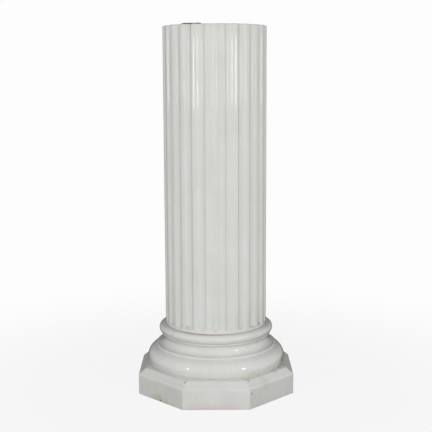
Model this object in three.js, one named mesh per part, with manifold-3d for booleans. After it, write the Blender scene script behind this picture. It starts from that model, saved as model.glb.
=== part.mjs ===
// Doric column in white glazed ceramic: two hollow castings, a fluted shaft standing by its
// own weight on a moulded base with an octagonal plinth. There is no capital, and the flutes run
// out through the shaft's rim.
// Millimetres, +Z up, origin at the centre of the plinth's underside, one plinth face to -Y.

import * as THREE from 'three';
import { mergeVertices } from 'three/addons/utils/BufferGeometryUtils.js';
import Module from 'manifold-3d';

// Shaft
const shaftHeight = 738;
const shaftFootRadius = 127.5;
const shaftTopRadius = 126.9;
const shaftWall = 20;
const fluteCount = 24;
const fluteWidth = 19.5;
const fluteDepth = 5.6;
const fluteEndRise = 6;
const footBand = 7;

// Joint between the two castings
const jointGap = 0.3;

// Base mouldings, from the shaft's foot downwards. A projection is measured outwards from
// the shaft's foot radius.
const ringShoulder = 0.6;
const ringRise = 20.8;
const ringProjection = 16.2;
const ringWidth = 9.3;
const neckProjection = 7.8;
const neckRise = 1.5;
const bandProjection = 10.5;
const bandRise = 2.6;
const bandEase = 0.5;
const scotiaProjection = 3.7;
const scotiaFootProjection = 18.7;
const scotiaRise = 24.5;
const scotiaSweep = 18.5;
const rollProjection = 25.2;
const rollRise = 8;
const quirkDepth = 2;
const torusProjection = 46.5;
const torusRise = 37.2;
const torusBelly = 9.5;
const torusWidth = 27.6;
const stepInset = 5.6;
const stepRise = 4.2;

// Plinth
const plinthMargin = 1.4;
const chamferRun = 17.1;
const chamferRise = 14.5;
const chamferHollow = 0.5;
const plinthRise = 50.5;
const plinthWall = 22;

// Hollow of the base
const torusWall = 21;
const scotiaWall = 26;

// Fineness of the curved faces
const facetsPerFlute = 4;
const baseFacets = 64;
const grooveFacets = 18;
const endFacets = 5;

// Levels, from the floor up
const plinthTop = plinthRise + chamferRise;
const torusFoot = plinthTop + stepRise;
const torusTop = torusFoot + torusRise;
const rollTop = torusTop + rollRise;
const bandFoot = rollTop + scotiaRise;
const bandTop = bandFoot + bandRise;
const ringFoot = bandTop + neckRise;
const ringTop = ringFoot + ringRise;
const seatLevel = ringTop + ringShoulder;

// Radii
const boreRadius = shaftFootRadius - shaftWall;
const torusRadius = shaftFootRadius + torusProjection;
const plinthTopInradius = torusRadius + plinthMargin;
const plinthInradius = plinthTopInradius + chamferRun;
const octagonCorner = 1 / Math.cos(Math.PI / 8);

const wasm = await Module();
wasm.setup();

// A piece of an ellipse in the profile plane, angles in degrees from the outward direction.
function arc(radius, level, halfWidth, halfRise, from, to, steps) {
  const points = [];
  for (let i = 0; i <= steps; i++) {
    const angle = THREE.MathUtils.degToRad(from + ((to - from) * i) / steps);
    points.push([radius + halfWidth * Math.cos(angle), level + halfRise * Math.sin(angle)]);
  }
  return points;
}

// A shallow curve between two profile points, bulging outwards by the given height.
function bow([r0, z0], [r1, z1], bulge, steps) {
  const length = Math.hypot(r1 - r0, z1 - z0);
  const points = [];
  for (let i = 0; i <= steps; i++) {
    const t = i / steps;
    const lift = 4 * bulge * t * (1 - t);
    points.push([
      r0 + (r1 - r0) * t + (lift * (z1 - z0)) / length,
      z0 + (z1 - z0) * t - (lift * (r1 - r0)) / length,
    ]);
  }
  return points;
}

// Turns a closed geometry into a solid that can be joined and cut.
function solidOf(geometry) {
  const bare = geometry.clone();
  bare.deleteAttribute('normal');
  bare.deleteAttribute('uv');
  const merged = mergeVertices(bare, 1e-4);
  const index = merged.index.array;
  const triangles = [];
  for (let i = 0; i < index.length; i += 3) {
    const [a, b, c] = [index[i], index[i + 1], index[i + 2]];
    if (a !== b && b !== c && c !== a) {
      triangles.push(a, b, c);
    }
  }
  const mesh = new wasm.Mesh({
    numProp: 3,
    vertProperties: new Float32Array(merged.attributes.position.array),
    triVerts: new Uint32Array(triangles),
  });
  return new wasm.Manifold(mesh);
}

// Revolves a profile of [radius, level] points about the vertical axis.
function turned(profile, segments, startAngle = 0) {
  const points = profile.map(([radius, level]) => new THREE.Vector2(radius, level));
  const geometry = new THREE.LatheGeometry(points, segments, startAngle);
  return geometry.rotateX(Math.PI / 2);
}

// An eight-sided solid whose faces lie at the profile's inradii, one of them facing -Y.
function octagonal(profile) {
  const corners = profile.map(([inradius, level]) => [inradius * octagonCorner, level]);
  return turned(corners, 8, Math.PI / 8);
}

function meshOf(name, solid, material) {
  const { numProp, vertProperties, triVerts } = solid.getMesh();
  const positions = new Float32Array((vertProperties.length / numProp) * 3);
  for (let i = 0; i < positions.length / 3; i++) {
    positions.set(vertProperties.subarray(i * numProp, i * numProp + 3), i * 3);
  }
  const geometry = new THREE.BufferGeometry();
  geometry.setAttribute('position', new THREE.BufferAttribute(positions, 3));
  geometry.setIndex(new THREE.BufferAttribute(new Uint32Array(triVerts), 1));
  geometry.computeVertexNormals();
  const mesh = new THREE.Mesh(geometry, material);
  mesh.name = name;
  return mesh;
}

// Moulded base: turned mouldings on an octagonal plinth, hollow and open beneath.
function baseProfile() {
  const ringRadius = shaftFootRadius + ringProjection - ringWidth;
  const ringMiddle = (ringFoot + ringTop) / 2;
  const torusMiddle = torusFoot + torusBelly;
  const torusHigh = 72;
  const torusHalfRise = (torusTop - torusMiddle) / Math.sin(THREE.MathUtils.degToRad(torusHigh));
  const torusLow = THREE.MathUtils.radToDeg(Math.asin(-torusBelly / torusHalfRise));
  const torusBend = arc(
    torusRadius - torusWidth,
    torusMiddle,
    torusWidth,
    torusHalfRise,
    torusLow,
    torusHigh,
    9,
  );
  const quirk = [torusBend.at(-1)[0] - quirkDepth, torusTop + quirkDepth / 2];
  const rollRadius = shaftFootRadius + rollProjection - rollRise / 2;
  const neck = shaftFootRadius + neckProjection;
  const band = shaftFootRadius + bandProjection;
  const scotiaBend = arc(
    shaftFootRadius + scotiaFootProjection,
    rollTop + scotiaSweep,
    scotiaFootProjection - scotiaProjection,
    scotiaSweep,
    270,
    180,
    7,
  );
  const step = torusRadius - stepInset;
  return [
    [0, plinthRise],
    [step, plinthRise],
    [step, torusFoot],
    ...torusBend,
    quirk,
    ...arc(rollRadius, torusTop + rollRise / 2, rollRise / 2, rollRise / 2, -40, 80, 4),
    ...scotiaBend,
    [shaftFootRadius + scotiaProjection, bandFoot],
    [band, bandFoot + bandEase],
    [band, bandTop - bandEase],
    [neck, bandTop],
    ...arc(ringRadius, ringMiddle, ringWidth, ringRise / 2, -78, 90, 8),
    [shaftFootRadius, seatLevel],
    [0, seatLevel],
  ];
}

function makeBase(material) {
  const plinthProfile = [
    [0, 0],
    [plinthInradius, 0],
    [plinthInradius, plinthRise],
    ...bow([plinthInradius, plinthRise], [plinthTopInradius, plinthTop], -chamferHollow, 3).slice(1),
    [0, plinthTop],
  ];
  const hollowRadius = torusRadius - torusWall;
  const hollowProfile = [
    [0, plinthRise - plinthWall - 1],
    [hollowRadius, plinthRise - plinthWall - 1],
    [hollowRadius, torusFoot + torusBelly],
    [shaftFootRadius + scotiaFootProjection - scotiaWall, rollTop],
    [boreRadius, bandFoot],
    [boreRadius, seatLevel + 1],
    [0, seatLevel + 1],
  ];
  const plinthHollow = [
    [0, -1],
    [plinthInradius - plinthWall, -1],
    [plinthInradius - plinthWall, plinthRise - plinthWall],
    [0, plinthRise - plinthWall],
  ];
  const body = solidOf(octagonal(plinthProfile))
    .add(solidOf(turned(baseProfile(), baseFacets)))
    .subtract(solidOf(turned(hollowProfile, baseFacets)))
    .subtract(solidOf(octagonal(plinthHollow)));
  return meshOf('moulded_base', body, material);
}

// Fluted shaft: a tapering tube. Each flute starts with a blunt rounded end above a plain band at
// the foot and runs out through the rim.
function makeShaft(material) {
  const foot = seatLevel + jointGap;
  const top = foot + shaftHeight;
  const tube = turned(
    [
      [boreRadius, foot],
      [shaftFootRadius, foot],
      [shaftTopRadius, top],
      [boreRadius, top],
      [boreRadius, foot],
    ],
    fluteCount * facetsPerFlute,
  );
  const cutterRadius = (fluteWidth ** 2 / 4 + fluteDepth ** 2) / (2 * fluteDepth);
  const standoff = cutterRadius - fluteDepth;
  const lowEnd = foot + footBand + fluteEndRise * Math.sqrt(1 - (standoff / cutterRadius) ** 2);
  const highEnd = top + fluteDepth;
  const length = highEnd - lowEnd;
  const taper = (shaftFootRadius - shaftTopRadius) / shaftHeight;
  const groove = turned(
    [
      ...arc(0, -length / 2, cutterRadius, fluteEndRise, -90, 0, endFacets),
      [cutterRadius, length / 2],
      [0, length / 2],
    ].map(([radius, level]) => [Math.max(radius, 0), level]),
    grooveFacets,
  );
  const middleRadius = shaftFootRadius - taper * ((lowEnd + highEnd) / 2 - foot);
  groove.rotateX(-Math.atan(taper));
  groove.translate(0, -(middleRadius + standoff), (lowEnd + highEnd) / 2);
  let body = solidOf(tube);
  for (let i = 0; i < fluteCount; i++) {
    const turn = (2 * Math.PI * i) / fluteCount;
    body = body.subtract(solidOf(groove.clone().rotateZ(turn)));
  }
  return meshOf('fluted_shaft', body, material);
}

const glaze = new THREE.MeshStandardMaterial({ color: 0xd9dad3, roughness: 0.15, metalness: 0 });

const column = new THREE.Group();
column.name = 'doric_column';
column.add(makeBase(glaze));
column.add(makeShaft(glaze.clone()));

export default column;
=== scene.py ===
"""White glazed ceramic column: a fluted shaft standing on a moulded base with an octagonal plinth."""

import math

import bmesh
import bpy
from mathutils import Matrix, Vector, noise


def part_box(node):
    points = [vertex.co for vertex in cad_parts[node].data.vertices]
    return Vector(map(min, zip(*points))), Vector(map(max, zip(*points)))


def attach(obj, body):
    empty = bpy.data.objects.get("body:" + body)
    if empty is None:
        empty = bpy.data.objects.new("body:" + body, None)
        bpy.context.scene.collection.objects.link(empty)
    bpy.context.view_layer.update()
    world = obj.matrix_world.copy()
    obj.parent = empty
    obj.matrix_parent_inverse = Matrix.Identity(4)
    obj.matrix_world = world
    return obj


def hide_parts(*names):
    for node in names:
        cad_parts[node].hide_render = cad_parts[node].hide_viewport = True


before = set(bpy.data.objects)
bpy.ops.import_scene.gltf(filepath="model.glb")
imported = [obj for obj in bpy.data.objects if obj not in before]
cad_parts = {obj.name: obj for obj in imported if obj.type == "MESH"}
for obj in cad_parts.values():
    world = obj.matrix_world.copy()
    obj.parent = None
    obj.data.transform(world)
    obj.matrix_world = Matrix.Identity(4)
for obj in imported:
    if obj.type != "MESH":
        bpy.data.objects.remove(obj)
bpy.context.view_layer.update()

MM = 0.001

# The shaft, read from the frame
shaft_low, shaft_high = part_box("fluted_shaft")
SHAFT_FOOT = shaft_low[2] / MM
SHAFT_TOP = shaft_high[2] / MM
FOOT_RADIUS = shaft_high[0] / MM
SHAFT_TAPER = 0.6
SHAFT_WALL = 20.0
TOP_RADIUS = FOOT_RADIUS - SHAFT_TAPER
BORE_RADIUS = FOOT_RADIUS - SHAFT_WALL
FLUTES = 24
FLUTE_PITCH = 2 * math.pi / FLUTES
FLUTE_WIDTH = 19.5
FLUTE_DEPTH = 5.6
FLUTE_END_RISE = 6.0
FOOT_BAND = 7.0
ARRIS = 1.0  # how softly the glaze rounds the flute's edges
UNROUNDED_DEPTH = 6.0  # the depth that this rounding leaves as it is
STRAIGHT_FROM = 0.93  # share of the cutter's radius beyond which its side runs on straight
CROWN_RADIUS = 45.0  # the glaze domes the fillets a little
FOOT_EDGE = 0.6  # rounding of the shaft's foot
RIM_EDGE = 1.6  # rounding of its rim

# The base, from the floor up
base_low, base_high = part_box("moulded_base")
PLINTH_INRADIUS = base_high[1] / MM
PLINTH_FACE = 50.5
PLINTH_TOP = 65.0
CHAMFER_RUN = 17.1
CHAMFER_HOLLOW = 0.5
PLINTH_TOP_INRADIUS = PLINTH_INRADIUS - CHAMFER_RUN
PLINTH_WALL = 22.0
PLINTH_FOOT_EDGE = 0.8
CORNER_RADIUS = 5.0  # rounding of the plinth's upright corners
CROWDING = 1.6  # how strongly the mesh's columns crowd towards those corners
TORUS_RADIUS = PLINTH_TOP_INRADIUS - 1.4
STEP_RADIUS = TORUS_RADIUS - 5.6
STEP_TOP = PLINTH_TOP + 4.2
TORUS_BELLY = STEP_TOP + 9.5
TORUS_TOP = STEP_TOP + 37.2
TORUS_WIDTH = 27.6
TORUS_WALL = 21.0
ROLL_RISE = 8.0
ROLL_TOP = TORUS_TOP + ROLL_RISE
ROLL_RADIUS = FOOT_RADIUS + 25.2
SCOTIA_RADIUS = FOOT_RADIUS + 3.7
SCOTIA_FOOT_RADIUS = FOOT_RADIUS + 18.7
SCOTIA_SWEEP = 18.5
SCOTIA_WALL = 26.0
NECK_RADIUS = FOOT_RADIUS + 7.8
BAND_RADIUS = FOOT_RADIUS + 10.5
BAND_FOOT = ROLL_TOP + 24.5
BAND_TOP = BAND_FOOT + 2.6
RING_FOOT = BAND_TOP + 1.5
RING_RISE = 20.8
RING_TOP = RING_FOOT + RING_RISE
RING_RADIUS = FOOT_RADIUS + 16.2
RING_WIDTH = 9.3
SEAT = RING_TOP + 0.6


def linear(hex_colour):
    """An sRGB hex colour as linear RGBA."""
    values = [int(hex_colour[i : i + 2], 16) / 255 for i in (1, 3, 5)]
    return tuple(v / 12.92 if v <= 0.04045 else ((v + 0.055) / 1.055) ** 2.4 for v in values) + (1.0,)


def finish_piece(name, bm, materials):
    """Makes the bmesh an object of that name, in metres, smooth all over."""
    for face in bm.faces:
        face.smooth = True
    bmesh.ops.scale(bm, vec=(MM, MM, MM), verts=bm.verts)
    mesh = bpy.data.meshes.new(name)
    bm.to_mesh(mesh)
    bm.free()
    for material in materials:
        mesh.materials.append(material)
    piece = bpy.data.objects.new(name, mesh)
    bpy.context.scene.collection.objects.link(piece)
    return piece


# Where the finish is not clean, and where painted shade darkens the creases, in mm from the column's origin
CREASE_DIRT_AND_SHADE = (  # radius, level, reach, strength
    (FOOT_RADIUS, SEAT + 0.2, 1.6, 0.5),
    (NECK_RADIUS, RING_FOOT, 3.0, 0.08),
    (SCOTIA_RADIUS, BAND_FOOT - 0.5, 2.6, 0.15),
    (ROLL_RADIUS - 2.5, TORUS_TOP + 1.0, 3.0, 0.3),
)
STAINS = (  # centre, reach, colour, strength
    ((-152, -120, 4), 15, "#b8af8e", 0.5),
    ((-139, -133, 6), 20, "#b0a67e", 0.5),
    ((-124, -149, 3), 18, "#b6ad8b", 0.45),
    ((-105, -165, 2), 16, "#beb69b", 0.4),
    ((-48, -192, 30), 4, "#a5a49e", 0.4),
    ((165, -52, 74), 20, "#98906b", 0.75),
    ((156, -74, 66), 14, "#a1986f", 0.5),
    ((143, -100, 65), 15, "#b5ad8c", 0.35),
    ((104, -135, 68), 15, "#c6c2a4", 0.4),
    ((84, -147, 70), 20, "#c6c2a4", 0.35),
    ((66, -156, 67), 13, "#c6c2a4", 0.35),
    ((79, -171, 64), 7, "#c3aca4", 0.5),
    ((-70, -105, 176), 8, "#a39b7c", 0.6),
    ((-84, -94, 171), 5, "#948b70", 0.5),
    ((-104, -74, 178), 4, "#8f897d", 0.6),
    ((108, -60, 174), 4, "#8a8479", 0.6),
    ((92, -84, 172), 6, "#a09889", 0.5),
    ((-144, -77, 102), 5, "#a9a598", 0.4),
    ((104, -87, 137), 14, "#b9b4bd", 0.3),
    ((-111, -162, 34), 42, "#c6c6d0", 0.4),
    ((30, -193, 26), 48, "#c9c8d0", 0.28),
    ((120, -150, 56), 30, "#cbc4c0", 0.45),
)


# Materials
def node(tree, kind, settings=None, inputs=None):
    """Adds a node, sets its properties, and fills its sockets with values or links."""
    made = tree.nodes.new(kind)
    for key, value in (settings or {}).items():
        setattr(made, key, value)
    for key, value in (inputs or {}).items():
        if isinstance(value, bpy.types.NodeSocket):
            tree.links.new(value, made.inputs[key])
        else:
            made.inputs[key].default_value = value
    return made


def new_material(name):
    material = bpy.data.materials.new(name)
    material.use_nodes = True
    tree = material.node_tree
    return material, tree, tree.nodes["Principled BSDF"]


SMOOTH = {"interpolation_type": "SMOOTHSTEP"}
MULTIPLY = {"operation": "MULTIPLY"}


def fading(value, near, far, strength=1.0, rest=0.0):
    """Map Range inputs: that strength where the value is at near, fading to the rest at far."""
    return {"Value": value, "From Min": near, "From Max": far, "To Min": strength, "To Max": rest}


def white_glaze():
    """Tin-white glaze, dipped and fired: wet-looking and bright, with soft runs down the shaft,
    dirt and painted shade in the creases and flute feet, a rusty line at the joint, old stains,
    and hair-fine crazing close to."""
    material, tree, shader = new_material("white_glaze")
    shader.inputs["IOR"].default_value = 1.5
    place = node(tree, "ShaderNodeTexCoord").outputs["Object"]
    split = node(tree, "ShaderNodeSeparateXYZ", None, {0: place}).outputs
    across, level = split["X"], split["Z"]
    flat = node(tree, "ShaderNodeVectorMath", MULTIPLY, {0: place, 1: (1, 1, 0)}).outputs[0]
    radius = node(tree, "ShaderNodeVectorMath", {"operation": "LENGTH"}, {0: flat}).outputs["Value"]

    # clouds in the glaze about 110 mm across, and runs twelve times as tall as wide
    clouds = {"Vector": place, "Scale": 9.0, "Detail": 4.0}
    cloud = node(tree, "ShaderNodeTexNoise", None, clouds).outputs["Fac"]
    tall = node(tree, "ShaderNodeMapping", None, {"Vector": place, "Scale": (1.0, 1.0, 0.08)})
    runs = {"Vector": tall.outputs[0], "Scale": 70.0, "Detail": 3.0}
    run = node(tree, "ShaderNodeTexNoise", None, runs).outputs["Fac"]
    mottle = node(tree, "ShaderNodeMix", None, {"Factor": 0.35, 2: cloud, 3: run}).outputs[0]
    tone = node(tree, "ShaderNodeValToRGB", None, {"Fac": mottle})
    tone.color_ramp.elements[0].position = 0.35
    tone.color_ramp.elements[0].color = linear("#d5d5d1")
    tone.color_ramp.elements[1].position = 0.65
    tone.color_ramp.elements[1].color = linear("#dcddda")
    colour = tone.outputs["Color"]
    layers = []  # colour of each layer over the glaze, and the fades that bound it

    # stains have edges that wander by a few millimetres
    drift = node(tree, "ShaderNodeTexNoise", None, {"Vector": place, "Scale": 130.0, "Detail": 3.0})
    centred = {0: drift.outputs["Color"], 1: (0.5, 0.5, 0.5)}
    centred = node(tree, "ShaderNodeVectorMath", {"operation": "SUBTRACT"}, centred).outputs[0]
    shifted = {0: centred, 1: (0.011, 0.011, 0.011), 2: place}
    smudged = node(tree, "ShaderNodeVectorMath", {"operation": "MULTIPLY_ADD"}, shifted).outputs[0]
    for centre, reach, hex_colour, strength in STAINS:
        ends = {0: smudged, 1: Vector(centre) * MM}
        away = node(tree, "ShaderNodeVectorMath", {"operation": "DISTANCE"}, ends).outputs["Value"]
        layers.append((hex_colour, [fading(away, 0.0, reach * MM, strength)]))

    # dirt and painted shade along the creases, thinner in patches
    patches = {"Vector": place, "Scale": 34.0, "Detail": 4.0}
    patches = node(tree, "ShaderNodeTexNoise", None, patches).outputs["Fac"]
    section = node(tree, "ShaderNodeCombineXYZ", None, {0: radius, 2: level}).outputs[0]
    for crease_radius, crease_level, reach, strength in CREASE_DIRT_AND_SHADE:
        ends = {0: section, 1: (crease_radius * MM, 0.0, crease_level * MM)}
        away = node(tree, "ShaderNodeVectorMath", {"operation": "DISTANCE"}, ends).outputs["Value"]
        near = fading(away, 0.3 * reach * MM, reach * MM, strength)
        layers.append(("#8d8573", [near, fading(patches, 0.62, 0.38, rest=0.4)]))

    # a rusty line in the joint, reddest at the front left
    ends = {0: place, 1: (-0.025, -0.127, 0.166)}
    away = node(tree, "ShaderNodeVectorMath", {"operation": "DISTANCE"}, ends).outputs["Value"]
    height = {0: level, 1: (SEAT + 0.9) * MM}
    height = node(tree, "ShaderNodeMath", {"operation": "SUBTRACT"}, height).outputs[0]
    height = node(tree, "ShaderNodeMath", {"operation": "ABSOLUTE"}, {0: height}).outputs[0]
    line = fading(height, 0.4 * MM, 1.8 * MM, 0.8)
    layers.append(("#b59a90", [line, fading(away, 0.02, 0.09, 0.75)]))

    # dirt and painted shade in the feet of the flutes, and a greyer, worn rim
    flute_foot_dirt_and_shade = [
        fading(level, (SHAFT_FOOT + 9) * MM, (SHAFT_FOOT + 17) * MM),
        fading(radius, (FOOT_RADIUS - 2.0) * MM, (FOOT_RADIUS - 0.6) * MM, 0.25),
        fading(level, (SHAFT_FOOT + 7) * MM, (SHAFT_FOOT + 5) * MM),
        fading(patches, 0.62, 0.38),
    ]
    layers.append(("#97917f", flute_foot_dirt_and_shade))
    layers.append(("#b7b6b3", [fading(level, (SHAFT_TOP - 1.0) * MM, (SHAFT_TOP - 4.0) * MM, 0.4)]))

    # a pinkish lower edge in front, and a warmer right side of the base
    middle = [fading(across, 0.03, 0.07), fading(across, -0.04, -0.1)]
    layers.append(("#cfbebb", [fading(level, 0.0, 0.024, 0.5)] + middle))
    layers.append(("#d8d2cf", [fading(across, 0.125, 0.085, 0.35), fading(level, 0.2, 0.12)]))

    # crazing in cells about 12 mm wide, and pinholes a millimetre across in one cell of twelve
    bent = {0: smudged, 1: (0.003, 0.0, 0.001)}
    bent = node(tree, "ShaderNodeVectorMath", {"operation": "ADD"}, bent).outputs[0]
    cells = {"Vector": bent, "Scale": 80.0}
    cells = node(tree, "ShaderNodeTexVoronoi", {"feature": "DISTANCE_TO_EDGE"}, cells)
    hair = fading(cells.outputs["Distance"], 0.004, 0.02, 0.22)
    layers.append(("#a79d89", [hair, fading(patches, 0.62, 0.38)]))
    specks = node(tree, "ShaderNodeTexVoronoi", None, {"Vector": place, "Scale": 48.0})
    chosen = node(tree, "ShaderNodeSeparateColor", None, {0: specks.outputs["Color"]}).outputs[0]
    pinholes = fading(specks.outputs["Distance"], 0.012, 0.03, 0.6)
    layers.append(("#85796a", [pinholes, fading(chosen, 0.94, 0.9)]))

    for hex_colour, fades in layers:
        mask = 1.0
        for fade in fades:
            share = node(tree, "ShaderNodeMapRange", SMOOTH, fade).outputs["Result"]
            mask = node(tree, "ShaderNodeMath", MULTIPLY, {0: mask, 1: share}).outputs[0]
        mixed = {0: mask, 6: colour, 7: linear(hex_colour)}
        colour = node(tree, "ShaderNodeMix", {"data_type": "RGBA"}, mixed).outputs[2]
    tree.links.new(colour, shader.inputs["Base Color"])

    # handled glaze: glossy with dull smears, duller in the pinholes, whose mask is the last one
    smear = {"Value": cloud, "To Min": 0.035, "To Max": 0.065}
    smear = node(tree, "ShaderNodeMapRange", None, smear).outputs["Result"]
    dull = {0: mask, 1: 0.5, 2: smear}
    dull = node(tree, "ShaderNodeMath", {"operation": "MULTIPLY_ADD"}, dull).outputs[0]
    tree.links.new(dull, shader.inputs["Roughness"])

    # the surface is wavy over 22 mm, with an orange peel of 3 mm
    peel = {"Vector": place, "Scale": 330.0, "Detail": 1.0}
    peel = node(tree, "ShaderNodeTexNoise", None, peel).outputs["Fac"]
    peel = {"Height": peel, "Strength": 0.3, "Distance": 0.00005}
    peel = node(tree, "ShaderNodeBump", None, peel).outputs[0]
    ripple = {"Vector": place, "Scale": 45.0, "Detail": 2.0}
    ripple = node(tree, "ShaderNodeTexNoise", None, ripple).outputs["Fac"]
    raised = {"Height": ripple, "Strength": 0.3, "Distance": 0.0003, "Normal": peel}
    bump = node(tree, "ShaderNodeBump", None, raised)
    tree.links.new(bump.outputs[0], shader.inputs["Normal"])
    return material


def bare_clay():
    """Fired clay without glaze, as cast: matt buff inside the hollow and under the foot. Down the
    bore the glaze has run a little way over the clay, to a wavy border."""
    material, tree, shader = new_material("bare_clay")
    place = node(tree, "ShaderNodeTexCoord").outputs["Object"]
    shader.inputs["Roughness"].default_value = 0.85
    cloud = node(
        tree, "ShaderNodeTexNoise", None, {"Vector": place, "Scale": 25.0, "Detail": 6.0}
    ).outputs["Fac"]
    tone = node(tree, "ShaderNodeValToRGB", None, {"Fac": cloud})
    tone.color_ramp.elements[0].position = 0.3
    tone.color_ramp.elements[0].color = linear("#ab9b80")
    tone.color_ramp.elements[1].position = 0.7
    tone.color_ramp.elements[1].color = linear("#cdc0a9")
    tree.links.new(tone.outputs["Color"], shader.inputs["Base Color"])
    grain = node(
        tree, "ShaderNodeTexNoise", None, {"Vector": place, "Scale": 600.0, "Detail": 3.0}
    ).outputs["Fac"]
    bump = node(
        tree, "ShaderNodeBump", None, {"Height": grain, "Strength": 0.4, "Distance": 0.0004}
    )
    tree.links.new(bump.outputs[0], shader.inputs["Normal"])
    level = node(tree, "ShaderNodeSeparateXYZ", None, {0: place}).outputs["Z"]
    wave = node(
        tree, "ShaderNodeTexNoise", None, {"Vector": place, "Scale": 16.0, "Detail": 2.0}
    ).outputs["Fac"]
    border = node(
        tree, "ShaderNodeMath", {"operation": "MULTIPLY_ADD"}, {0: wave, 1: 0.07, 2: level}
    ).outputs[0]
    start = (SHAFT_TOP - 5.0) * MM
    edge = {"Value": border, "From Min": start, "From Max": start + 0.002}
    run = node(tree, "ShaderNodeMapRange", None, edge).outputs["Result"]
    gloss = {"Base Color": linear("#d6d6cf"), "Roughness": 0.1}
    glaze = node(tree, "ShaderNodeBsdfPrincipled", None, gloss).outputs[0]
    mix = node(tree, "ShaderNodeMixShader", None, {0: run, 1: shader.outputs[0], 2: glaze})
    tree.links.new(mix.outputs[0], tree.nodes["Material Output"].inputs["Surface"])
    return material


def chipped_body():
    """The body where the glaze has chipped away long ago: rough, and dark with dirt."""
    material, tree, shader = new_material("chipped_body")
    place = node(tree, "ShaderNodeTexCoord").outputs["Object"]
    shader.inputs["Roughness"].default_value = 0.95
    cloud = node(
        tree, "ShaderNodeTexNoise", None, {"Vector": place, "Scale": 500.0, "Detail": 3.0}
    ).outputs["Fac"]
    tone = node(tree, "ShaderNodeValToRGB", None, {"Fac": cloud})
    tone.color_ramp.elements[0].position = 0.35
    tone.color_ramp.elements[0].color = linear("#6a6256")
    tone.color_ramp.elements[1].position = 0.65
    tone.color_ramp.elements[1].color = linear("#968c7c")
    tree.links.new(tone.outputs["Color"], shader.inputs["Base Color"])
    return material


def dark_bedding():
    """Old bedding left on the rim: nearly black, matt and crumbly."""
    material, tree, shader = new_material("dark_bedding")
    place = node(tree, "ShaderNodeTexCoord").outputs["Object"]
    shader.inputs["Roughness"].default_value = 0.95
    grain = node(
        tree, "ShaderNodeTexNoise", None, {"Vector": place, "Scale": 700.0, "Detail": 4.0}
    ).outputs["Fac"]
    tone = node(tree, "ShaderNodeValToRGB", None, {"Fac": grain})
    tone.color_ramp.elements[0].position = 0.3
    tone.color_ramp.elements[0].color = linear("#353532")
    tone.color_ramp.elements[1].position = 0.7
    tone.color_ramp.elements[1].color = linear("#54524d")
    tree.links.new(tone.outputs["Color"], shader.inputs["Base Color"])
    bump = node(
        tree, "ShaderNodeBump", None, {"Height": grain, "Strength": 0.6, "Distance": 0.0005}
    )
    tree.links.new(bump.outputs[0], shader.inputs["Normal"])
    return material


GLAZE = white_glaze()
CLAY = bare_clay()
CHIPPED = chipped_body()
BEDDING = dark_bedding()


# Profile helpers
def arc(radius, level, half_width, half_rise, start, end, steps):
    turns = [math.radians(start + (end - start) * i / steps) for i in range(steps + 1)]
    return [(radius + half_width * math.cos(t), level + half_rise * math.sin(t)) for t in turns]


def bow(first, last, bulge, steps):
    """A shallow curve between two profile points, bulging outwards."""
    (r0, z0), (r1, z1) = first, last
    length = math.hypot(r1 - r0, z1 - z0)
    points = []
    for i in range(steps + 1):
        t = i / steps
        lift = 4 * bulge * t * (1 - t) / length
        points.append((r0 + (r1 - r0) * t + lift * (z1 - z0), z0 + (z1 - z0) * t - lift * (r1 - r0)))
    return points


# Damage, as centre and reach in mm, depth, and whether the body shows
SHAFT_CHIPS = (((107.6, -58.9, 175.3), 2.2, 0.9, True), ((-103.6, -74.1, 177.5), 1.6, 0.6, True))
BASE_CHIPS = (
    ((-74.0, -177.3, 64.2), 3.0, 1.3, True),
    ((79.0, -172.0, 64.4), 4.2, 0.9, False),
    ((85.4, -186.8, 37.6), 2.2, 1.0, True),
    ((86.4, -185.8, 44.3), 1.5, 0.8, True),
    ((-134.8, -137.5, 2.0), 4.0, 1.5, True),
)


def chip(bm, centre, reach, depth, bare):
    """Knocks a small hollow into the surface, after refining the mesh around it."""
    centre = Vector(centre)
    for _ in range(4):
        edges = []
        for edge in bm.edges:
            length = edge.calc_length()
            middle = (edge.verts[0].co + edge.verts[1].co) / 2
            if length > reach / 4 and (middle - centre).length < 1.6 * reach + length / 2:
                edges.append(edge)
        bmesh.ops.subdivide_edges(bm, edges=edges, cuts=1, use_grid_fill=True)
    bm.normal_update()
    sunk = set()
    for vert in bm.verts:
        away = (vert.co - centre).length / reach
        away += 0.35 * noise.noise(vert.co * 2.2 / reach)
        if away < 1:
            sunk.add(vert)
            rough = 1 + 0.3 * noise.noise(vert.co * 3)
            vert.co -= vert.normal * depth * min(1.0, 1.6 * (1 - away)) * rough
    for face in bm.faces:
        if bare and all(vert in sunk for vert in face.verts):
            face.material_index = 2


# Fluted shaft
def rim_warp(turn):
    """How far the kiln has lifted the rim at that turn."""
    bumps = noise.noise(Vector((math.sin(turn) * 5, math.cos(turn) * 5, 3.7)))
    return 0.35 * bumps - 0.5 * math.cos(2 * turn)


def from_flute(turn):
    """The angle from the middle line of the nearest flute."""
    return (turn + FLUTE_PITCH / 2) % FLUTE_PITCH - FLUTE_PITCH / 2


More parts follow.
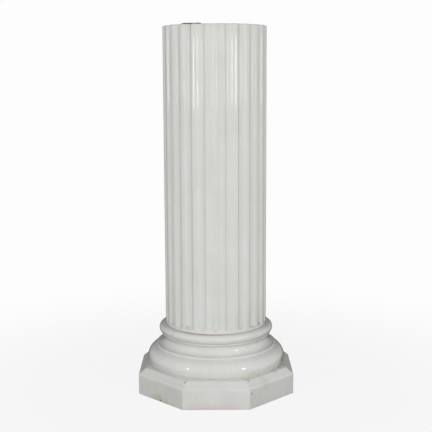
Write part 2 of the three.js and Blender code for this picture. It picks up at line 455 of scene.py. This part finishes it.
def shaft_section():
    """The wall's closed section, from the bore's foot out and round: (radius, level, share of the
    flutes' depth)."""
    foot, rim = FOOT_EDGE, RIM_EDGE
    stations = [(r, z, 0.0) for r, z in arc(BORE_RADIUS + foot, SHAFT_FOOT + foot, foot, foot, 180, 270, 4)]
    stations += [(BORE_RADIUS + 10, SHAFT_FOOT, 0.0)]
    stations += [(r, z, 0.0) for r, z in arc(FOOT_RADIUS - foot, SHAFT_FOOT + foot, foot, foot, -90, 0, 4)]
    flute_foot = SHAFT_FOOT + FOOT_BAND
    fine_rows, long_rows = 16, 30  # close together at the flutes' feet, wide apart above
    levels = [flute_foot - 1.6 + 8.4 * i / fine_rows for i in range(fine_rows + 1)]
    start, stop = levels[-1], SHAFT_TOP - 2 * rim
    levels += [start + (stop - start) * i / long_rows for i in range(1, long_rows + 1)]
    for level in levels:
        share = (level - SHAFT_FOOT) / (SHAFT_TOP - SHAFT_FOOT)
        stations.append((FOOT_RADIUS + (TOP_RADIUS - FOOT_RADIUS) * share, level, 1.0))
    stations += [(r, z, 1.0) for r, z in arc(TOP_RADIUS - rim, SHAFT_TOP - rim, rim, rim, 0, 90, 5)]
    stations += [(BORE_RADIUS + 11, SHAFT_TOP, 0.8), (BORE_RADIUS + 8, SHAFT_TOP, 0.2)]
    stations += [(r, z, 0.0) for r, z in arc(BORE_RADIUS + rim, SHAFT_TOP - rim, rim, rim, 90, 180, 4)]
    span = SHAFT_TOP - SHAFT_FOOT - rim - foot
    stations += [(BORE_RADIUS, SHAFT_TOP - rim - span * i / 8, 0.0) for i in range(1, 9)]
    return stations


def flute_cut(across, level):
    """How deep a flute cuts, at that distance from its middle line. Its foot is round, and its top
    runs out through the rim."""
    cutter = (FLUTE_WIDTH**2 / 4 + FLUTE_DEPTH**2) / (2 * FLUTE_DEPTH)
    reach = FLUTE_END_RISE * math.sqrt(1 - ((cutter - FLUTE_DEPTH) / cutter) ** 2)
    along = max(SHAFT_FOOT + FOOT_BAND + reach - level, 0.0) * cutter / FLUTE_END_RISE
    away = math.hypot(across, along)
    edge = cutter * STRAIGHT_FROM
    if away < edge:
        sink = math.sqrt(cutter**2 - away**2) - (cutter - FLUTE_DEPTH)
    else:
        drop = math.sqrt(cutter**2 - edge**2)
        sink = drop - (cutter - FLUTE_DEPTH) - (away - edge) * edge / drop
    rounded = 0.5 * (sink + math.sqrt(sink**2 + ARRIS**2))
    return rounded - 0.5 * (math.sqrt(UNROUNDED_DEPTH**2 + ARRIS**2) - UNROUNDED_DEPTH)


def make_shaft():
    """The section swept round the axis, with the flutes cut in and the fillets domed between them."""
    stations = shaft_section()
    per_flute = 36
    columns = FLUTES * per_flute
    rows = len(stations) - 1
    bm = bmesh.new()
    bmesh.ops.create_grid(bm, x_segments=columns, y_segments=rows, size=0.5)
    for vert in bm.verts:
        column = round((vert.co.x + 0.5) * columns)
        row = round((vert.co.y + 0.5) * rows)
        radius, level, depth = stations[row]
        turn = 2 * math.pi * (column % columns) / columns
        if depth:
            offset = from_flute(turn)
            radius -= depth * max(0.0, flute_cut(offset * FOOT_RADIUS, level))
            from_crown = (FLUTE_PITCH / 2 - abs(offset)) * FOOT_RADIUS
            half_fillet = (FLUTE_PITCH * FOOT_RADIUS - FLUTE_WIDTH) / 2
            above_foot = min(1.0, max(0.0, (level - SHAFT_FOOT) / (2 * FOOT_BAND)))
            radius -= above_foot * min(from_crown, half_fillet) ** 2 / (2 * CROWN_RADIUS)
            wave = noise.noise(Vector((math.sin(turn) * 2.5, math.cos(turn) * 2.5, level / 90)))
            radius += 0.25 * depth * wave
        level += rim_warp(turn) * ((level - SHAFT_FOOT) / (SHAFT_TOP - SHAFT_FOOT)) ** 6
        vert.co = (radius * math.sin(turn), -radius * math.cos(turn), level)
    bmesh.ops.remove_doubles(bm, verts=bm.verts, dist=0.001)
    bmesh.ops.recalc_face_normals(bm, faces=bm.faces)
    for face in bm.faces:
        middle = face.calc_center_median()
        if math.hypot(middle.x, middle.y) < BORE_RADIUS + 0.5 or middle.z < SHAFT_FOOT + 0.1:
            face.material_index = 1
    for marks in SHAFT_CHIPS:
        chip(bm, *marks)
    return finish_piece("shaft_wall", bm, [GLAZE, CLAY, CHIPPED])


def make_bedding():
    """A crumbly strip left on the rim at the front left: a long part and a lump at its right end."""
    first, last = -38.5, -14.6  # degrees from the front
    columns, around = 120, 12
    bm = bmesh.new()
    bmesh.ops.create_grid(bm, x_segments=columns, y_segments=around, size=0.5)
    for vert in bm.verts:
        share = vert.co.x + 0.5
        round_share = vert.co.y + 0.5
        degrees = first + (last - first) * share
        turn = math.radians(degrees)
        ends = math.sqrt(max(0.0, 1 - abs(2 * share - 1) ** 7))
        long_part = 0.8 * math.exp(-(((degrees + 31.0) / 5.8) ** 4))
        lump = 0.5 * math.exp(-(((degrees + 17.4) / 3.4) ** 4))
        crumbs = noise.noise(Vector((share * 40, round_share * 3, 1.3)))
        rise = ends * (1.4 + long_part + lump + 0.35 * crumbs)
        bulges = noise.noise(Vector((share * 9, 5.0, 0.0)))
        width = 7.0 * ends * (0.85 + 0.25 * bulges) + 0.4
        cut = flute_cut(from_flute(turn) * FOOT_RADIUS, SHAFT_TOP)
        outer = TOP_RADIUS - 0.7 - max(0.0, cut)
        swing = 2 * math.pi * (round(round_share * around) % around) / around
        radius = outer - width / 2 + width / 2 * math.cos(swing)
        up = math.sin(swing)
        level = SHAFT_TOP + rim_warp(turn) + 0.05 + (rise * up**0.7 if up > 0 else 0.0)
        vert.co = (radius * math.sin(turn), -radius * math.cos(turn), level)
    bmesh.ops.remove_doubles(bm, verts=bm.verts, dist=0.002)
    bmesh.ops.holes_fill(bm, edges=[edge for edge in bm.edges if edge.is_boundary], sides=0)
    bmesh.ops.recalc_face_normals(bm, faces=bm.faces)
    return finish_piece("bedding_remains", bm, [BEDDING])


# Moulded base
def base_section():
    """The base's closed section as (radius, level), from the foot's outer edge up and round. The
    fractions of a millimetre round the mould's edges."""
    torus_high = 72
    torus_half_rise = (TORUS_TOP - TORUS_BELLY) / math.sin(math.radians(torus_high))
    torus_low = math.degrees(math.asin((STEP_TOP - TORUS_BELLY) / torus_half_rise))
    torus_core = TORUS_RADIUS - TORUS_WIDTH
    torus = arc(torus_core, TORUS_BELLY, TORUS_WIDTH, torus_half_rise, torus_low, torus_high, 26)
    roll = ROLL_RISE / 2
    ring = RING_RISE / 2
    scotia_width = SCOTIA_FOOT_RADIUS - SCOTIA_RADIUS
    scotia_middle = ROLL_TOP + SCOTIA_SWEEP
    hollow = TORUS_RADIUS - TORUS_WALL
    ceiling = PLINTH_FACE - PLINTH_WALL
    edge = PLINTH_FOOT_EDGE
    points = arc(PLINTH_INRADIUS - edge, edge, edge, edge, -90, 0, 3)
    points += [(PLINTH_INRADIUS, edge + (PLINTH_FACE - 3) * i / 6) for i in range(1, 6)]
    points += [(PLINTH_INRADIUS, PLINTH_FACE - 2.2), (PLINTH_INRADIUS - 0.5, PLINTH_FACE - 0.6)]
    chamfer = (PLINTH_INRADIUS, PLINTH_FACE), (PLINTH_TOP_INRADIUS, PLINTH_TOP)
    points += bow(*chamfer, -CHAMFER_HOLLOW, 10)[1:-1]
    points += [(PLINTH_TOP_INRADIUS - 0.3, PLINTH_TOP - 0.4), (PLINTH_TOP_INRADIUS - 1.4, PLINTH_TOP)]
    points += [(STEP_RADIUS + 0.9, PLINTH_TOP), (STEP_RADIUS + 0.2, PLINTH_TOP + 0.5)]
    points += [(STEP_RADIUS, STEP_TOP - 0.8), (STEP_RADIUS + 0.5, STEP_TOP - 0.1)]
    points += torus
    points += [(torus[-1][0] - 2.0, TORUS_TOP + 1.0)]
    points += arc(ROLL_RADIUS - roll, TORUS_TOP + roll, roll, roll, -40, 80, 10)
    points += arc(SCOTIA_FOOT_RADIUS, scotia_middle, scotia_width, SCOTIA_SWEEP, 270, 180, 20)
    points += [(SCOTIA_RADIUS, BAND_FOOT - 1.0), (SCOTIA_RADIUS + 0.8, BAND_FOOT - 0.1)]
    points += [(BAND_RADIUS - 0.5, BAND_FOOT), (BAND_RADIUS, BAND_FOOT + 0.6)]
    points += [(BAND_RADIUS, BAND_TOP - 0.6), (BAND_RADIUS - 0.5, BAND_TOP)]
    points += [(NECK_RADIUS, BAND_TOP + 0.3)]
    points += arc(RING_RADIUS - RING_WIDTH, RING_FOOT + ring, RING_WIDTH, ring, -78, 90, 22)
    points += [(FOOT_RADIUS + 1.0, SEAT - 0.1), (FOOT_RADIUS - 1.0, SEAT), (BORE_RADIUS, SEAT)]
    points += [(BORE_RADIUS, BAND_FOOT), (SCOTIA_FOOT_RADIUS - SCOTIA_WALL, ROLL_TOP)]
    points += [(hollow, TORUS_BELLY), (hollow, ceiling)]
    points += [(PLINTH_INRADIUS - PLINTH_WALL, ceiling), (PLINTH_INRADIUS - PLINTH_WALL, 0)]
    return points


def octagon_point(turn, inradius, corner_radius, crowding):
    """Where a rounded octagon's outline passes at that turn, with the mesh's columns crowded
    towards its corners."""
    half_side = math.pi / 8
    sector = math.floor(turn / (2 * half_side) + 0.5)
    share = math.tan(turn - sector * 2 * half_side) / math.tan(half_side)
    share = math.copysign(1 - max(0.0, 1 - abs(share)) ** crowding, share)
    half = inradius * math.tan(half_side)
    cut = corner_radius * math.tan(half_side)
    out, along = inradius, abs(share) * half
    if corner_radius and half - along < cut:
        swing = half_side * (1 - (half - along) / cut)
        out = inradius - corner_radius + corner_radius * math.cos(swing)
        along = half - cut + corner_radius * math.sin(swing)
    return Matrix.Rotation(sector * 2 * half_side, 2) @ Vector((math.copysign(along, share), -out))


def make_base():
    """The section turned round the axis, then its plinth drawn out to a rounded octagon, and the
    plinth's hollow to a sharp one."""
    points = base_section()
    steps = 288
    bm = bmesh.new()
    verts = [bm.verts.new((0, -radius, level)) for radius, level in points]
    edges = [bm.edges.new(pair) for pair in zip(verts, verts[1:] + verts[:1])]
    profile, round_up = verts + edges, 2 * math.pi
    bmesh.ops.spin(
        bm, geom=profile, cent=(0, 0, 0), axis=(0, 0, 1), angle=round_up, steps=steps, use_merge=True
    )
    bmesh.ops.remove_doubles(bm, verts=bm.verts, dist=0.001)
    for vert in bm.verts:
        radius = math.hypot(vert.co.x, vert.co.y)
        turn = math.atan2(vert.co.x, -vert.co.y)
        if radius > STEP_RADIUS + 1.5 and vert.co.z <= PLINTH_TOP + 0.01:
            vert.co.xy = octagon_point(turn, radius, CORNER_RADIUS, CROWDING)
        elif radius > TORUS_RADIUS - 20.0 and vert.co.z <= PLINTH_FACE - PLINTH_WALL + 0.01:
            vert.co.xy = octagon_point(turn, radius, 0.0, 1.0)
    bmesh.ops.recalc_face_normals(bm, faces=bm.faces)
    for face in bm.faces:
        middle = face.calc_center_median()
        radius = math.hypot(middle.x, middle.y)
        outwards = (face.normal.x * middle.x + face.normal.y * middle.y) / radius
        if outwards < -0.5 or face.normal.z < -0.9 and middle.z < PLINTH_FACE:
            face.material_index = 1
    for marks in BASE_CHIPS:
        chip(bm, *marks)
    return finish_piece("base_casting", bm, [GLAZE, CLAY, CHIPPED])


shaft = make_shaft()
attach(shaft, "root")
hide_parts("fluted_shaft")

base = make_base()
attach(base, "root")
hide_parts("moulded_base")

bedding = make_bedding()
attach(bedding, "root")


# Floor, light and camera
BACKDROP = linear("#ffffff")
BACKDROP_STRENGTH = 0.98
FLOOR_REACH = 7000.0
ROOM = (  # axis, direction along it, brightness as light, brightness as mirrored in the glaze
    (1, -1.0, 2.27, 0.15),
    (0, 1.0, 0.24, 1.6),
    (0, -1.0, 0.24, 1.2),
    (1, 1.0, 0.06, 0.0),
    (2, 1.0, 0.3, 0.1),
)


def make_floor():
    """Seamless paper: near the column it takes the soft shadow, further out it runs into the
    backdrop. The glaze mirrors it dark near the column, and mirrors the room beyond."""
    bm = bmesh.new()
    bmesh.ops.create_grid(bm, x_segments=1, y_segments=1, size=FLOOR_REACH)
    material, tree, shader = new_material("pale_floor")
    shader.inputs["Base Color"].default_value = linear("#b4b4b2")
    shader.inputs["Roughness"].default_value = 0.9
    place = node(tree, "ShaderNodeTexCoord").outputs["Object"]
    away = node(tree, "ShaderNodeVectorMath", {"operation": "LENGTH"}, {0: place}).outputs["Value"]
    far = fading(away, 0.3, 1.2, 0.9, rest=1.0)
    far = node(tree, "ShaderNodeMapRange", SMOOTH, far).outputs["Result"]
    paper = node(
        tree, "ShaderNodeEmission", None, {"Color": BACKDROP, "Strength": BACKDROP_STRENGTH}
    )
    seen = node(
        tree, "ShaderNodeMixShader", None, {0: far, 1: shader.outputs[0], 2: paper.outputs[0]}
    )
    paths = node(tree, "ShaderNodeLightPath").outputs
    dark = node(tree, "ShaderNodeBsdfDiffuse", None, {"Color": linear("#505050")}).outputs[0]
    open_floor = node(tree, "ShaderNodeBsdfTransparent").outputs[0]
    beyond = fading(away, 0.4, 1.2, 0.0, rest=1.0)
    beyond = node(tree, "ShaderNodeMapRange", SMOOTH, beyond).outputs["Result"]
    mirrored = {0: beyond, 1: dark, 2: open_floor}
    mirrored = node(tree, "ShaderNodeMixShader", None, mirrored).outputs[0]
    unseen = {0: paths["Is Glossy Ray"], 1: shader.outputs[0], 2: mirrored}
    unseen = node(tree, "ShaderNodeMixShader", None, unseen)
    ways = {0: paths["Is Camera Ray"], 1: unseen.outputs[0], 2: seen.outputs[0]}
    mix = node(tree, "ShaderNodeMixShader", None, ways)
    tree.links.new(mix.outputs[0], tree.nodes["Material Output"].inputs["Surface"])
    floor = finish_piece("studio_floor", bm, [material])


def softbox(name, turn, distance, height, width, tall, power, mirrored=True):
    """A rectangular softbox, at that turn from the front, facing the column."""
    data = bpy.data.lights.new(name, "AREA")
    data.shape = "RECTANGLE"
    data.size, data.size_y, data.energy = width, tall, power
    light = bpy.data.objects.new(name, data)
    bpy.context.scene.collection.objects.link(light)
    turn = math.radians(turn)
    light.location = (distance * math.sin(turn), -distance * math.cos(turn), height)
    aim = Vector((0, 0, 0.5)) - light.location
    light.rotation_euler = aim.to_track_quat("-Z", "Y").to_euler()
    light.visible_camera = False
    light.visible_glossy = mirrored


def make_world():
    """The room's soft light: broad from the front, weaker from the sides, above and behind. The
    glaze mirrors a room darker in front, as a studio is behind the camera, and paler at the sides."""
    world = bpy.data.worlds.new("studio")
    bpy.context.scene.world = world
    world.use_nodes = True
    tree = world.node_tree
    ray = node(tree, "ShaderNodeTexCoord").outputs["Generated"]
    split = node(tree, "ShaderNodeSeparateXYZ", None, {0: ray}).outputs
    paths = node(tree, "ShaderNodeLightPath").outputs
    total = 0.0
    for axis, direction, as_light, mirrored in ROOM:
        facing = {0: split[axis], 1: direction}
        facing = node(tree, "ShaderNodeMath", MULTIPLY, facing).outputs[0]
        facing = {0: facing, 1: 0.0}
        facing = node(tree, "ShaderNodeMath", {"operation": "MAXIMUM"}, facing).outputs[0]
        square = {0: facing, 1: 2.0}
        square = node(tree, "ShaderNodeMath", {"operation": "POWER"}, square).outputs[0]
        change = {0: paths["Is Glossy Ray"], 1: mirrored - as_light, 2: as_light}
        strength = node(tree, "ShaderNodeMath", {"operation": "MULTIPLY_ADD"}, change).outputs[0]
        sum_up = {0: square, 1: strength, 2: total}
        total = node(tree, "ShaderNodeMath", {"operation": "MULTIPLY_ADD"}, sum_up).outputs[0]
    studio = tree.nodes["Background"]
    studio.inputs["Color"].default_value = linear("#ffffff")
    tree.links.new(total, studio.inputs["Strength"])
    backdrop = {"Color": BACKDROP, "Strength": BACKDROP_STRENGTH}
    backdrop = node(tree, "ShaderNodeBackground", None, backdrop)
    ways = {0: paths["Is Camera Ray"], 1: studio.outputs[0], 2: backdrop.outputs[0]}
    mix = node(tree, "ShaderNodeMixShader", None, ways)
    tree.links.new(mix.outputs[0], tree.nodes["World Output"].inputs["Surface"])


def make_camera():
    """Where the photograph was taken from, fitted to the plinth's corners, the joint, the rim and
    the outline."""
    sensor, focal_pixels, photo_pixels = 36.0, 868.8, 432
    data = bpy.data.cameras.new("photo_view")
    data.sensor_width = sensor
    data.lens = sensor * focal_pixels / photo_pixels
    camera = bpy.data.objects.new("photo_view", data)
    bpy.context.scene.collection.objects.link(camera)
    camera.matrix_world = (
        Matrix.Translation((0, -2.1602, 0.7638))
        @ Matrix.Rotation(math.radians(-0.042), 4, "Z")
        @ Matrix.Rotation(math.radians(90 - 8.624), 4, "X")
        @ Matrix.Rotation(math.radians(-0.25), 4, "Z")
    )
    bpy.context.scene.camera = camera


make_floor()
make_world()
softbox("softbox_left", -46, 2.0, 0.82, 0.2, 0.31, 2.5)
softbox("softbox_right", 46, 2.0, 0.82, 0.2, 0.31, 2.5)
softbox("softbox_low", 0, 0.9, 0.36, 0.6, 0.2, 0.5, mirrored=False)
softbox("softbox_back", 180, 2.6, 0.7, 0.9, 0.6, 9, mirrored=False)
make_camera()
bpy.context.scene.view_settings.view_transform = "Standard"
